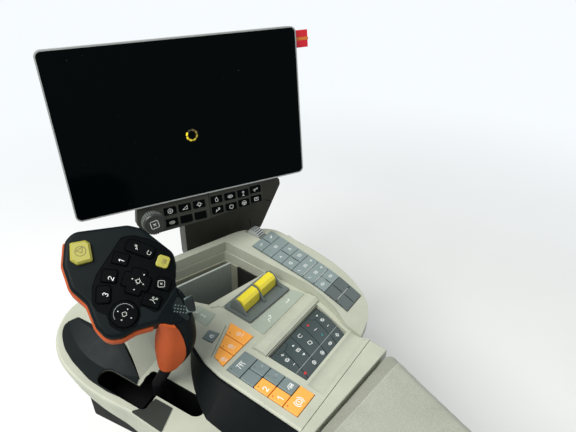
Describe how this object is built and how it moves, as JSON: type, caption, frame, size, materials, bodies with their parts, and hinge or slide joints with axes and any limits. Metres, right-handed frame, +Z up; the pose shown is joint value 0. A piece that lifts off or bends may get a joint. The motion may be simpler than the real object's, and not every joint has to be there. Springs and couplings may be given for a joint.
{
  "type": "armrest control console",
  "caption": "Operator's right-hand armrest console with a control lever, a tilting touch display, key blocks, a tray and a padded rest, on a sliding bracket.",
  "frame": {"origin": "centre of the four bolt holes, on the face of the seat plate that lies against the seat frame", "axes": "+X to the operator's right, +Y forward, +Z up"},
  "size_m": [0.4167, 0.6683, 0.5513],
  "materials": {
    "shell_beige": "satin",
    "armrest_vinyl": "matte",
    "charcoal": "satin",
    "black": "matte",
    "tray_beige": "matte",
    "tray_grey": "matte",
    "key_grey": "satin",
    "key_orange": "satin",
    "grip_orange": "matte",
    "yellow": "gloss",
    "olive": "satin",
    "taupe": "satin",
    "knob_dark": "satin",
    "wheel_grey": "satin",
    "display_shell": "satin",
    "screen": "gloss",
    "tab_red": "satin",
    "steel": "satin"
  },
  "bodies": {
    "bracket": {"seat_plate": "steel", "slide_rail": "steel"},
    "lever": {"lever_stalk": "black", "lever_grip": "charcoal", "palm_pad": "grip_orange", "lever_head": "charcoal", "head_trim": "grip_orange", "lever_buttons": "black", "stop_button": "olive", "resume_button": "olive", "button_field": "black", "side_buttons": "charcoal"},
    "neck": {"neck_cover": "taupe", "display_arm": "steel"},
    "display": {"display_housing": "display_shell", "display_glass": "screen", "pull_tab": "tab_red", "nav_bar": "taupe", "nav_keys": "black", "nav_knob": "knob_dark"},
    "console": {"armrest_base": "shell_beige", "rear_bar": "shell_beige", "lower_shell": "shell_beige", "deck_shell": "shell_beige", "right_rib": "shell_beige", "hood_bar": "shell_beige", "pod_shell": "shell_beige", "saddle": "shell_beige", "tray_ledge": "shell_beige", "armrest_pad": "armrest_vinyl", "side_panel": "charcoal", "pod_insert": "charcoal", "pod_patch": "charcoal", "toggle_bezel": "charcoal", "lever_housing": "black", "keypad_base": "black", "tray_bin": "tray_beige", "tray_divider": "tray_grey", "label_plate_side": "tray_grey", "label_plate_rear": "tray_grey", "rib_keys": "key_grey", "block_keys_grey": "key_grey", "lock_key": "key_grey", "centre_keys": "key_grey", "block_keys_orange": "key_orange", "row_keys_orange": "key_orange", "toggle_left": "yellow", "toggle_right": "yellow", "trim_knob": "knob_dark", "thumb_wheel": "wheel_grey", "slide_carriage": "steel", "display_foot": "steel"}
  },
  "joints": [
    {"name": "console_slide", "type": "slide", "parent": "bracket", "child": "console", "axis": [0, 1, 0], "range_m": [-0.05, 0.05]},
    {"name": "lever_travel", "type": "hinge", "parent": "console", "child": "lever", "pos_m": [-0.062, 0.308, 0.012], "axis": [0.9816, 0.1908, 0], "range_deg": [0, 14.5]},
    {"name": "display_swivel", "type": "hinge", "parent": "console", "child": "neck", "pos_m": [0.17137, 0.43865, 0.19], "axis": [0, 0, 1], "range_deg": [-12, 12]},
    {"name": "display_tilt", "type": "hinge", "parent": "neck", "child": "display", "pos_m": [0.14935, 0.46141, 0.38939], "axis": [0.8886, -0.4587, 0], "range_deg": [-12, 8]}
  ]
}
